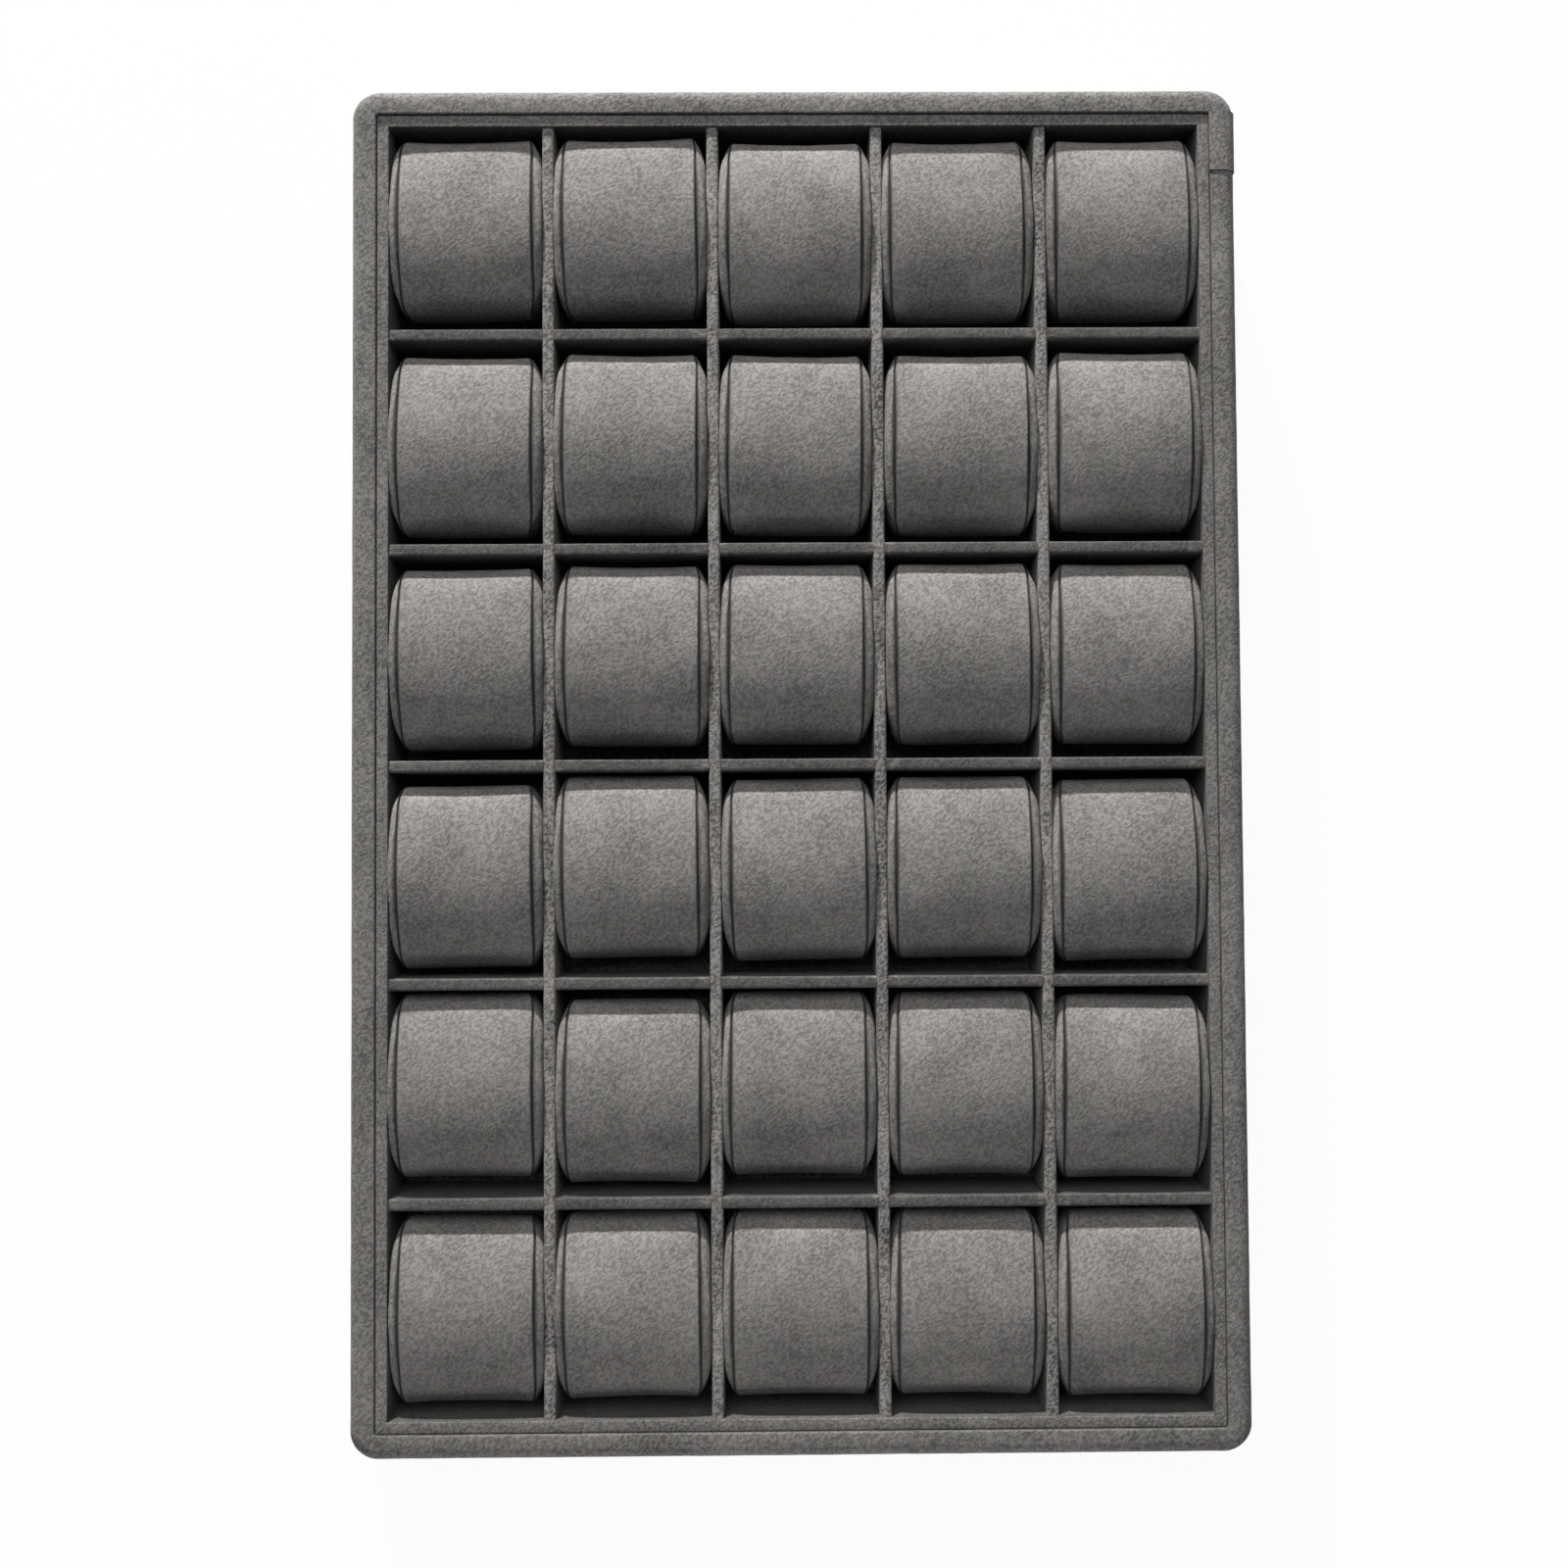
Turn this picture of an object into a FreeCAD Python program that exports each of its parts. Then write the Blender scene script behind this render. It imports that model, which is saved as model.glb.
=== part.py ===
import FreeCAD, Part
import math
import os

import Sketcher

# A watch display tray that lies flat: +Z is up, +X runs across the columns and +Y to the back row.
# The origin is under the middle of the tray, on the face that it rests on. Lengths are millimetres.

COLUMNS = 5
ROWS = 6

SIZES = (
    ("cell_width", 54.0, "clear width of a compartment"),
    ("cell_length", 72.0, "clear length of a compartment"),
    ("backing_thickness", 0.8, "sheet under the base"),
    ("backing_inset", 2.0, "backing edge inside the tray's edge"),
    ("base_thickness", 4.0, "base board"),
    ("lining_thickness", 0.7, "suede lining on the floor"),
    ("suede_thickness", 0.5, "suede round the liner and the dividers"),
    ("divider_board", 3.0, "board inside a divider"),
    ("divider_height", 33.5, "divider top above the floor"),
    ("lap_clearance", 0.1, "play of a cross lap, each side"),
    ("liner_board", 3.0, "board inside the liner"),
    ("liner_height", 34.5, "liner top above the floor"),
    ("groove_gap", 0.3, "gap between the liner and the rim"),
    ("rim_width", 8.7, "width of the covered rim"),
    ("rim_height", 35.5, "rim top above the floor"),
    ("rim_cover", 0.6, "suede round the rim rails"),
    ("rim_rounding", 4.0, "rounding along the rim's outer top edge"),
    ("rim_inner_rounding", 1.2, "rounding along the rim's inner top edge"),
    ("corner_radius", 10.5, "outer corners of the tray"),
    ("pillow_side_gap", 0.3, "gap between a pillow's end and a divider"),
    ("strap_gap", 3.0, "gap for a strap before and behind a pillow"),
    ("belly_radius", 26.0, "rounding from a pillow's base to its widest"),
    ("crown_rise", 12.0, "pillow crown above its widest"),
    ("shoulder_radius", 6.0, "rounding between a pillow's side and crown"),
    ("end_room", 3.6, "room for a pillow's end panel, from its seam to the divider"),
    ("wrap_thickness", 0.8, "suede and card of the wrap"),
    ("wrap_play", 0.1, "gap between the wrap and the foam"),
    ("seam_draw", 1.0, "pillow ends drawn in at the seams"),
    ("seam_drop", 1.2, "pillow crown lower at the seams"),
    ("seam_inset", 0.5, "end panel edge inside the wrap's edge"),
    ("dome_edge", 1.6, "end panel rounding near the seam"),
    ("dome_top", 2.6, "end panel rounding towards its middle"),
)

doc = FreeCAD.newDocument("watch_tray")
sheet = doc.addObject("Spreadsheet::Sheet", "Sizes")
for row, (alias, number, note) in enumerate(SIZES, start=1):
    sheet.set(f"A{row}", note)
    sheet.set(f"B{row}", str(number))
    sheet.setAlias(f"B{row}", alias)
doc.recompute()


class Size:
    """A length, as a number and as the expression that works it out from the sheet."""

    def __init__(self, number, text):
        self.number = number
        self.text = text

    def __add__(self, other):
        return Size(self.number + other.number, f"({self.text} + {other.text})")

    def __sub__(self, other):
        return Size(self.number - other.number, f"({self.text} - {other.text})")

    def __mul__(self, other):
        other = as_size(other)
        return Size(self.number * other.number, f"({self.text} * {other.text})")

    def __truediv__(self, other):
        other = as_size(other)
        return Size(self.number / other.number, f"({self.text} / {other.text})")


def as_size(value):
    """A plain number as a Size, and a Size as it is."""
    return value if isinstance(value, Size) else Size(value, str(value))


def lesser(one, other):
    """The smaller of two lengths."""
    return Size(min(one.number, other.number), f"min({one.text}; {other.text})")


def from_sheet(alias):
    """A driving dimension."""
    return Size(float(sheet.get(alias)), f"Sizes.{alias}")


# Places and sizes that follow from the driving dimensions

NOTHING = Size(0.0, "0")
suede = from_sheet("suede_thickness")
lap_clearance = from_sheet("lap_clearance")
divider = from_sheet("divider_board") + suede * 2
liner = from_sheet("liner_board") + suede * 2
divider_height = from_sheet("divider_height")
liner_height = from_sheet("liner_height")

pitch_x = from_sheet("cell_width") + divider
pitch_y = from_sheet("cell_length") + divider
field_width = pitch_x * COLUMNS - divider
field_length = pitch_y * ROWS - divider
liner_width = field_width + liner * 2
liner_length = field_length + liner * 2

groove_gap = from_sheet("groove_gap")
rim_width = from_sheet("rim_width")
rim_cover = from_sheet("rim_cover")
opening_width = liner_width + groove_gap * 2
opening_length = liner_length + groove_gap * 2
OPENING_CORNER_PER_GAP = 3
opening_corner = groove_gap * OPENING_CORNER_PER_GAP
tray_width = opening_width + rim_width * 2
tray_length = opening_length + rim_width * 2
corner_radius = from_sheet("corner_radius")

base_bottom = from_sheet("backing_thickness")
base_top = base_bottom + from_sheet("base_thickness")
floor = base_top + from_sheet("lining_thickness")
rim_top = floor + from_sheet("rim_height")

belly_radius = from_sheet("belly_radius")
crown_rise = from_sheet("crown_rise")
seam_draw = from_sheet("seam_draw")
seam_drop = from_sheet("seam_drop")
SHOULDER_SHARE_OF_RISE = 0.8
DOME_SHOULDER_SHARE = 0.55
shoulder_limit = (crown_rise - seam_drop) * SHOULDER_SHARE_OF_RISE
shoulder_radius = lesser(from_sheet("shoulder_radius"), shoulder_limit)
pillow_half_length = from_sheet("cell_length") / 2 - from_sheet("strap_gap")
wrap_half = from_sheet("cell_width") / 2 - from_sheet("end_room")
dome_end = from_sheet("cell_width") / 2 - from_sheet("pillow_side_gap")
wrap_thickness = from_sheet("wrap_thickness")


def column_x(place):
    """Middle of a column, or of the divider after it where place ends in a half."""
    return pitch_x * (place - (COLUMNS + 1) / 2)


def row_y(place):
    """Middle of a row, counted from the back, or of the divider after it where place ends in a half."""
    return pitch_y * ((ROWS + 1) / 2 - place)


# Ways of making a piece

def put(piece, x, y, z):
    """Ties a piece's place to the sheet."""
    for axis, length in zip("xyz", (x, y, z)):
        piece.setExpression(f"Placement.Base.{axis}", length.text)


def board(label, width, length, height, x, y, z):
    """A flat-sided piece, centred on x and y and standing on z."""
    piece = doc.addObject("Part::Box", label)
    piece.setExpression("Length", width.text)
    piece.setExpression("Width", length.text)
    piece.setExpression("Height", height.text)
    put(piece, x - width / 2, y - length / 2, z)
    return piece


def combine(kind, label, base, tool):
    """Part::Cut or Part::Common of two pieces."""
    piece = doc.addObject(kind, label)
    piece.Base = base
    piece.Tool = tool
    return piece


def group(label, pieces):
    """Separate solids that share one node."""
    piece = doc.addObject("Part::Compound", label)
    piece.Links = pieces
    return piece


def sketch_on(body, label, role):
    """An empty sketch on one of a body's own origin planes."""
    sketch = body.newObject("Sketcher::SketchObject", label)
    plane = next(plane for plane in body.Origin.OriginFeatures if plane.Role == role)
    sketch.AttachmentSupport = (plane, [""])
    sketch.MapMode = "FlatFace"
    return sketch


def constrain(sketch, kind, *places, length=None):
    """Adds a constraint, tied to the sheet where it has a length."""
    if length is None:
        sketch.addConstraint(Sketcher.Constraint(kind, *places))
        return
    index = sketch.addConstraint(Sketcher.Constraint(kind, *places, length.number))
    sketch.setExpression(f"Constraints[{index}]", length.text)


ORIGIN_POINT = (-1, 1)
START, END, MIDDLE = range(1, 4)


def rectangle(body, label, width, length, level):
    """A rectangle about the Z axis at a level."""
    sketch = sketch_on(body, label, "XY_Plane")
    sketch.setExpression("AttachmentOffset.Base.z", level.text)
    across = width.number / 2
    along = length.number / 2
    corners = [
        FreeCAD.Vector(-across, -along),
        FreeCAD.Vector(across, -along),
        FreeCAD.Vector(across, along),
        FreeCAD.Vector(-across, along),
    ]
    for side in range(4):
        sketch.addGeometry(Part.LineSegment(corners[side], corners[(side + 1) % 4]))
    for side in range(4):
        constrain(sketch, "Coincident", side, END, (side + 1) % 4, START)
        constrain(sketch, "Vertical" if side % 2 else "Horizontal", side)
    constrain(sketch, "Symmetric", 0, START, 2, START, *ORIGIN_POINT)
    constrain(sketch, "DistanceX", 0, START, 0, END, length=width)
    constrain(sketch, "DistanceY", 1, START, 1, END, length=length)
    return sketch


def edges_where(shape, wanted):
    """Names of the edges whose two ends both meet a condition on their points."""
    names = []
    for number, edge in enumerate(shape.Edges, start=1):
        ends = [vertex.Point for vertex in edge.Vertexes]
        if wanted(*ends):
            names.append(f"Edge{number}")
    return names


SAME = 1e-4


def is_upright(one, other):
    """Whether an edge between two points runs along Z."""
    return abs(one.x - other.x) < SAME and abs(one.y - other.y) < SAME


def round_edges(body, base, label, names, radius):
    """Rounds edges of a body's last feature."""
    rounding = body.newObject("PartDesign::Fillet", label)
    rounding.Base = (base, names)
    rounding.setExpression("Radius", radius.text)
    body.Tip = rounding
    doc.recompute()
    return rounding


def rounded_slab(label, inset, bottom, thickness):
    """The tray's plan with its round corners, drawn in by inset."""
    body = doc.addObject("PartDesign::Body", label)
    outline = rectangle(body, f"{label}_outline", tray_width - inset * 2, tray_length - inset * 2, bottom)
    slab = body.newObject("PartDesign::Pad", f"{label}_slab")
    slab.Profile = outline
    slab.setExpression("Length", thickness.text)
    doc.recompute()
    uprights = edges_where(slab.Shape, is_upright)
    round_edges(body, slab, f"{label}_corners", uprights, corner_radius - inset)
    return body


def rim_ring(label, inset, bottom):
    """The rim all round with its rounded top, drawn in by inset on every side but the bottom."""
    top = rim_top - inset
    body = rounded_slab(label, inset, bottom, top - bottom)
    whole = body.Shape.Volume
    width = opening_width + inset * 2
    length = opening_length + inset * 2
    hole = body.newObject("PartDesign::Pocket", f"{label}_hole")
    hole.Profile = rectangle(body, f"{label}_hole_outline", width, length, top)
    hole.Type = "ThroughAll"
    body.Tip = hole
    doc.recompute()
    opened = width.number * length.number * (top - bottom).number
    if abs(whole - hole.Shape.Volume - opened) > 1.0:
        raise ValueError(f"{label}: the opening isn't cut")

    def in_opening(end):
        return abs(end.x) < width.number / 2 + SAME and abs(end.y) < length.number / 2 + SAME

    def at_hole_corner(one, other):
        return is_upright(one, other) and in_opening(one)

    def at_top(*ends):
        return all(abs(end.z - top.number) < SAME for end in ends)

    def at_outer_top(*ends):
        return at_top(*ends) and not in_opening(ends[0])

    def at_inner_top(*ends):
        return at_top(*ends) and all(in_opening(end) for end in ends)

    uprights = edges_where(hole.Shape, at_hole_corner)
    corners = round_edges(body, hole, f"{label}_hole_corners", uprights, opening_corner + inset)
    outside = edges_where(corners.Shape, at_outer_top)
    outer_top = round_edges(body, corners, f"{label}_top", outside, from_sheet("rim_rounding") - inset)
    inside = edges_where(outer_top.Shape, at_inner_top)
    inner_rounding = from_sheet("rim_inner_rounding") - inset
    round_edges(body, outer_top, f"{label}_inner_top", inside, inner_rounding)
    return body


# Base, lining and backing

base_board = rounded_slab("base_board", rim_cover, base_bottom, from_sheet("base_thickness"))
backing_sheet = rounded_slab("backing_sheet", from_sheet("backing_inset"), NOTHING, base_bottom)
floor_lining = board(
    "floor_lining",
    liner_width,
    liner_length,
    from_sheet("lining_thickness"),
    NOTHING,
    NOTHING,
    base_top,
)
pieces = [base_board, backing_sheet, floor_lining]

# Rim: four rails on the base, under four suede covers that meet in mitres at the corners

rail_ring = rim_ring("rail_ring", rim_cover, base_top)
rim_form = rim_ring("rim_form", NOTHING, base_bottom)
cover_over_rails = combine("Part::Cut", "cover_over_rails", rim_form, rail_ring)
cover_ring = combine("Part::Cut", "cover_ring", cover_over_rails, base_board)


def mitre(label, half_run, half_reach, turn):
    """A block as long as one side of the tray, with ends cut at 45 degrees through the corners."""
    depth = rim_width * 2
    block = doc.addObject("Part::Wedge", label)
    block.setExpression("Xmin", (NOTHING - half_run).text)
    block.setExpression("Xmax", half_run.text)
    block.setExpression("X2min", (depth - half_run).text)
    block.setExpression("X2max", (half_run - depth).text)
    block.setExpression("Ymin", (NOTHING - half_reach).text)
    block.setExpression("Ymax", (depth - half_reach).text)
    for bottom, top in (("Zmin", "Zmax"), ("Z2min", "Z2max")):
        block.setExpression(bottom, "0")
        block.setExpression(top, rim_top.text)
    block.Placement.Rotation = FreeCAD.Rotation(FreeCAD.Vector(0, 0, 1), turn)
    return block


half_tray_width = tray_width / 2
half_tray_length = tray_length / 2
RIM_SIDES = (
    ("front", half_tray_width, half_tray_length, 0),
    ("right", half_tray_length, half_tray_width, 90),
    ("back", half_tray_width, half_tray_length, 180),
    ("left", half_tray_length, half_tray_width, 270),
)
for side, half_run, half_reach, turn in RIM_SIDES:
    corner_block = mitre(f"mitre_{side}", half_run, half_reach, turn)
    pieces.append(combine("Part::Common", f"rail_{side}", rail_ring, corner_block))
    pieces.append(combine("Part::Common", f"rim_cover_{side}", cover_ring, corner_block))

# Liner: four boards inside the rim, each under its own suede cover

liner_x = (field_width + liner) / 2
liner_y = (field_length + liner) / 2
LINER_SIDES = (
    ("front", liner_width, liner, NOTHING, NOTHING - liner_y),
    ("back", liner_width, liner, NOTHING, liner_y),
    ("left", liner, field_length, NOTHING - liner_x, NOTHING),
    ("right", liner, field_length, liner_x, NOTHING),
)


def covered_board(label, width, length, height, x, y, lengthwise):
    """A board standing on the floor, and the block that its suede fills on both sides and the top."""
    board_width = width - suede * 2 if lengthwise else width
    board_length = length if lengthwise else length - suede * 2
    core = board(f"{label}_board", board_width, board_length, height - suede, x, y, floor)
    block = board(f"{label}_block", width, length, height, x, y, floor)
    return core, block


liner_covers = []
for side, width, length, x, y in LINER_SIDES:
    lengthwise = side in ("left", "right")
    core, block = covered_board(f"liner_{side}", width, length, liner_height, x, y, lengthwise)
    core.Label = f"liner_{side}"
    pieces.append(core)
    liner_covers.append(combine("Part::Cut", f"liner_cover_{side}", block, core))
pieces.append(group("liner_covers", liner_covers))

# Dividers: columns are slotted from below and rows from above, and pushed together in half laps

lap_height = divider_height / 2
slot_width = divider + lap_clearance * 2
column_slots = group(
    "column_slots",
    [
        board(
            f"column_slot_{number}",
            field_width,
            slot_width,
            lap_height + lap_clearance,
            NOTHING,
            row_y(number + 0.5),
            floor,
        )
        for number in range(1, ROWS)
    ],
)
row_slots = group(
    "row_slots",
    [
        board(
            f"row_slot_{number}",
            slot_width,
            field_length,
            divider_height - lap_height,
            column_x(number + 0.5),
            NOTHING,
            floor + lap_height,
        )
        for number in range(1, COLUMNS)
    ],
)


def slotted_divider(label, width, length, x, y, lengthwise, slots):
    """A divider's board and its suede cover, both with the same slots."""
    core, block = covered_board(label, width, length, divider_height, x, y, lengthwise)
    cover = combine("Part::Cut", f"{label}_suede", block, core)
    slotted = combine("Part::Cut", label, core, slots)
    return slotted, combine("Part::Cut", f"{label}_cover", cover, slots)


column_covers = []
for number in range(1, COLUMNS):
    x = column_x(number + 0.5)
    label = f"column_divider_{number}"
    core, cover = slotted_divider(label, divider, field_length, x, NOTHING, True, column_slots)
    pieces.append(core)
    column_covers.append(cover)
pieces.append(group("column_divider_covers", column_covers))

row_covers = []
for number in range(1, ROWS):
    y = row_y(number + 0.5)
    label = f"row_divider_{number}"
    core, cover = slotted_divider(label, field_width, divider, NOTHING, y, False, row_slots)
    pieces.append(core)
    row_covers.append(cover)
pieces.append(group("row_divider_covers", row_covers))


# Pillows: a foam core in a suede wrap that is closed by a domed panel at each end

def pillow_outline(body, label, station, inset, draw, drop):
    """The pillow's side view at a station along X: flat base, round bellies and shoulders, crown."""
    half = pillow_half_length - draw - inset
    belly = belly_radius - inset
    shoulder = shoulder_radius - inset
    rise = crown_rise - drop - inset
    reach = half - shoulder
    crown = (rise * rise + reach * reach - shoulder * shoulder) / ((rise - shoulder) * 2)
    base_half = half - belly
    turn = math.atan2(crown.number - rise.number, reach.number)

    sketch = sketch_on(body, label, "YZ_Plane")
    sketch.setExpression("AttachmentOffset.Base.y", inset.text)
    sketch.setExpression("AttachmentOffset.Base.z", station.text)
    left = FreeCAD.Vector(-base_half.number, 0)
    right = FreeCAD.Vector(base_half.number, 0)
    sketch.addGeometry(Part.LineSegment(left, right))
    quarter = math.pi / 2
    level = belly.number
    crown_level = level + rise.number - crown.number
    arcs = (
        (base_half.number, level, belly, -quarter, 0.0),
        (reach.number, level, shoulder, 0.0, turn),
        (0.0, crown_level, crown, turn, math.pi - turn),
        (-reach.number, level, shoulder, math.pi - turn, math.pi),
        (-base_half.number, level, belly, math.pi, 3 * quarter),
    )
    for x, y, radius, start, end in arcs:
        circle = Part.Circle(FreeCAD.Vector(x, y), FreeCAD.Vector(0, 0, 1), radius.number)
        sketch.addGeometry(Part.ArcOfCircle(circle, start, end))
    edge_count = len(arcs) + 1
    for edge in range(edge_count):
        constrain(sketch, "Tangent", edge, END, (edge + 1) % edge_count, START)
    constrain(sketch, "Horizontal", 0)
    constrain(sketch, "Symmetric", 0, START, 0, END, *ORIGIN_POINT)
    constrain(sketch, "DistanceX", 0, START, 0, END, length=base_half * 2)
    constrain(sketch, "Horizontal", 1, MIDDLE, 1, END)
    constrain(sketch, "Horizontal", edge_count - 1, MIDDLE, edge_count - 1, START)
    for edge, (x, y, radius, start, end) in enumerate(arcs, start=1):
        constrain(sketch, "Radius", edge, length=radius)
    return sketch


def pillow_loft(body, kind, label, stations):
    """A loft through outlines, each given as its station, inset, draw and drop."""
    outlines = [
        pillow_outline(body, f"{label}_outline_{number}", *station)
        for number, station in enumerate(stations, start=1)
    ]
    loft = body.newObject(kind, label)
    loft.Profile = outlines[0]
    loft.Sections = outlines[1:]
    body.Tip = loft
    return loft


def wrap_stations(inset):
    """The pillow's body from seam to seam: fullest in the middle, drawn in at both seams."""
    return (
        (NOTHING - wrap_half, inset, seam_draw, seam_drop),
        (NOTHING, inset, NOTHING, NOTHING),
        (wrap_half, inset, seam_draw, seam_drop),
    )


def end_panel(label, hand):
    """A padded panel that closes one end of the pillow and swells outwards."""
    edge = from_sheet("seam_inset")
    shoulder = edge + from_sheet("dome_edge")
    middle = shoulder + from_sheet("dome_top")
    shoulder_place = wrap_half + (dome_end - wrap_half) * DOME_SHOULDER_SHARE
    body = doc.addObject("PartDesign::Body", label)
    stations = (
        (wrap_half * hand, edge, seam_draw, seam_drop),
        (shoulder_place * hand, shoulder, seam_draw, seam_drop),
        (dome_end * hand, middle, seam_draw, seam_drop),
    )
    pillow_loft(body, "PartDesign::AdditiveLoft", f"{label}_dome", stations)
    return body


foam_core = doc.addObject("PartDesign::Body", "foam_core")
foam_inset = wrap_thickness + from_sheet("wrap_play")
pillow_loft(foam_core, "PartDesign::AdditiveLoft", "foam_block", wrap_stations(foam_inset))

suede_wrap = doc.addObject("PartDesign::Body", "suede_wrap")
pillow_loft(suede_wrap, "PartDesign::AdditiveLoft", "wrap_outside", wrap_stations(NOTHING))
pillow_loft(suede_wrap, "PartDesign::SubtractiveLoft", "wrap_inside", wrap_stations(wrap_thickness))

pillow_parts = [
    foam_core,
    suede_wrap,
    end_panel("end_panel_left", -1),
    end_panel("end_panel_right", 1),
]
for row in range(1, ROWS + 1):
    for column in range(1, COLUMNS + 1):
        pillow = group(f"pillow_r{row}c{column}", pillow_parts)
        put(pillow, column_x(column), row_y(row), floor)
        pieces.append(pillow)

# Check every piece, then write each one to its own file

doc.recompute()
for thing in doc.Objects:
    if {"Invalid", "Error"} & set(thing.State):
        raise ValueError(f"{thing.Label}: {thing.State}")
for piece in pieces:
    if piece.Shape.isNull() or not piece.Shape.isValid() or not piece.Shape.Solids:
        raise ValueError(f"{piece.Label}: no valid solid")

os.makedirs("parts", exist_ok=True)
for piece in pieces:
    piece.Shape.exportStep(f"parts/{piece.Label}.step")
print(f"{len(pieces)} pieces, {tray_width.number:.1f} x {tray_length.number:.1f} mm")
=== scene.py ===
import math
import random

import bmesh
import bpy
from mathutils import Matrix, Vector, noise


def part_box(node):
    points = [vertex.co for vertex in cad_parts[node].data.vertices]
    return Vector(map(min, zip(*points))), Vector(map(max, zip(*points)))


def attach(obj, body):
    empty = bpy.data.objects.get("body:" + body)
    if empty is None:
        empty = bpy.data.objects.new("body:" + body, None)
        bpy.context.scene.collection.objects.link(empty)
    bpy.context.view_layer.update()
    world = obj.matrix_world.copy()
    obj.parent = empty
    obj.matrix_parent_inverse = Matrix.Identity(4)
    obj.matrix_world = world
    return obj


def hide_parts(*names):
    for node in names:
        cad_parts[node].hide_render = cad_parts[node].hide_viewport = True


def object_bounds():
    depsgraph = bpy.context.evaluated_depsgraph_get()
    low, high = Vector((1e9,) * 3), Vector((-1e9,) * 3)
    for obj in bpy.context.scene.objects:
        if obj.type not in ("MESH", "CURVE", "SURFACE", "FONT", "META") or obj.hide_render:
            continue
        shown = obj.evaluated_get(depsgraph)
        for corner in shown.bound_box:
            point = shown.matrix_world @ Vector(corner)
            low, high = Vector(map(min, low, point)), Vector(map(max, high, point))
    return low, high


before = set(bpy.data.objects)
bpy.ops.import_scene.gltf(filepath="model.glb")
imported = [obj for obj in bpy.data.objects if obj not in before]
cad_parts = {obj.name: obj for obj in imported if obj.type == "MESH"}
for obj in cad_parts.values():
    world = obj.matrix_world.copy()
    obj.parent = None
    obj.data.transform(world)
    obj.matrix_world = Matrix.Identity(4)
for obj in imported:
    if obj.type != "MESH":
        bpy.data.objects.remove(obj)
cad_low, cad_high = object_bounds()

# A display tray for thirty watches, in grey suede. Lengths are metres, in the frame's own axes.

MM = 0.001
ROWS = 6
COLUMNS = 5

GROOVE_GAP = 0.3 * MM
COVER_THICKNESS = 0.45 * MM
CLOSE = MM / 100
TOUCHING = MM / 1000

floor_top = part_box("floor_lining")[1].z
base_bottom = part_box("base_board")[0].z
base_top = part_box("base_board")[1].z
liner_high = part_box("liner_covers")[1]
column_low, column_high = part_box("column_divider_covers")
row_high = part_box("row_divider_covers")[1]
pillow_low, pillow_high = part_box("pillow_r1c1")
pillow_size = pillow_high - pillow_low
rim_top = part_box("rim_cover_front")[1].z
rim_width = cad_high.x - liner_high.x - GROOVE_GAP
liner_width = liner_high.x - row_high.x


def middle(node):
    """Middle of a CAD node's box."""
    low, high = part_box(node)
    return (low + high) / 2


column_places = [middle(f"column_divider_{number}").x for number in range(1, COLUMNS)]
row_places = [middle(f"row_divider_{number}").y for number in range(1, ROWS)]
divider_width = 2 * (column_places[0] - column_low.x)
column_pitch = column_places[1] - column_places[0]
row_pitch = row_places[0] - row_places[1]
half_cell_width = (column_pitch - divider_width) / 2
half_cell_length = (row_pitch - divider_width) / 2
divider_rise = column_high.z - floor_top


# Materials: values with arithmetic, and a look that holds one material's nodes

class Value:
    """A node's output. Arithmetic on it adds Math nodes."""

    def __init__(self, look, socket):
        self.look = look
        self.socket = socket

    def math(self, operation, first, second):
        """A Math node on two values or numbers."""
        return self.look.node("ShaderNodeMath", {"operation": operation}, {0: first, 1: second})

    def __add__(self, other):
        return self.math("ADD", self, other)

    def __radd__(self, other):
        return self.math("ADD", other, self)

    def __sub__(self, other):
        return self.math("SUBTRACT", self, other)

    def __rsub__(self, other):
        return self.math("SUBTRACT", other, self)

    def __mul__(self, other):
        return self.math("MULTIPLY", self, other)

    def __rmul__(self, other):
        return self.math("MULTIPLY", other, self)


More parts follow.
